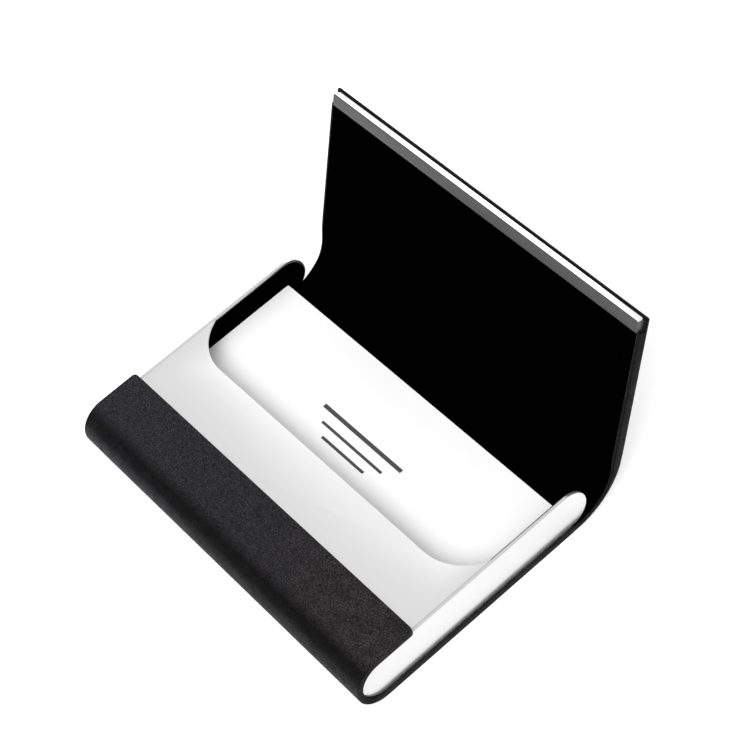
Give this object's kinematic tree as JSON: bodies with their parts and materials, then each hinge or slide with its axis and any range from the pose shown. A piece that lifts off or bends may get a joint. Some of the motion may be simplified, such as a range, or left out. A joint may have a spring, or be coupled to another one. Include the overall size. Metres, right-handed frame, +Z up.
{
  "type": "business card case",
  "caption": "Pocket business card case: slim metal box in a leather wrap, windowed band, and a lined leather lid on a flexible spine, standing open over a pack of blank cards.",
  "frame": {"origin": "centre of the metal box's footprint, on the outer face of the bottom leather", "axes": "+X along the case, towards the right end cap; +Y towards the spine; +Z up"},
  "size_m": [0.0962, 0.0864, 0.0459],
  "materials": {
    "steel_band": "satin",
    "steel_cap": "bright satin",
    "trim_steel": "polished",
    "leather": "fine pebble grain, semi-matt",
    "lining": "matt black",
    "padding": "matt foam sheet",
    "board": "dense grey board",
    "magnet": "nickel plated",
    "card": "smooth matt card"
  },
  "bodies": {
    "case": {"case_shell": "steel_band", "left_end_cap": "steel_cap", "right_end_cap": "steel_cap", "floor_lining": "lining", "pocket_lining": "lining", "left_wall_lining": "lining", "right_wall_lining": "lining", "case_padding": "padding", "case_leather": "leather", "left_band_magnet": "magnet", "right_band_magnet": "magnet"},
    "spine_1": {"spine_leather_1": "leather", "spine_lining_1": "lining"},
    "spine_2": {"spine_leather_2": "leather", "spine_lining_2": "lining"},
    "lid": {"lid_leather": "leather", "lid_core": "board", "lid_lining": "lining", "lid_trim": "trim_steel", "left_lid_magnet": "magnet", "right_lid_magnet": "magnet"},
    "cards": {"card_stack": "card"},
    "loose_card": {"top_card": "card"}
  },
  "joints": [
    {"name": "spine_fold_1", "type": "hinge", "parent": "case", "child": "spine_1", "pos_m": [0, 0.02883, 0.00094], "axis": [-1, 0, 0], "range_deg": [-37.17, 20]},
    {"name": "spine_fold_2", "type": "hinge", "parent": "spine_1", "child": "spine_2", "pos_m": [0, 0.03575, 0.00444], "axis": [-1, 0, 0], "range_deg": [-37.17, 20]},
    {"name": "spine_fold_3", "type": "hinge", "parent": "spine_2", "child": "lid", "pos_m": [0, 0.04006, 0.0109], "axis": [-1, 0, 0], "range_deg": [-37.17, 20]},
    {"name": "cards_tilt", "type": "hinge", "parent": "case", "child": "cards", "pos_m": [0, -0.0252, 0.00245], "axis": [1, 0, 0], "range_deg": [0, 4]},
    {"name": "top_card_slide", "type": "slide", "parent": "cards", "child": "loose_card", "axis": [0, 1, 0], "range_m": [-0.004, 0.004]}
  ],
  "couplings": [
    {"joint": "spine_fold_2", "follows": "spine_fold_1", "ratio": 1},
    {"joint": "spine_fold_3", "follows": "spine_fold_1", "ratio": 1}
  ]
}
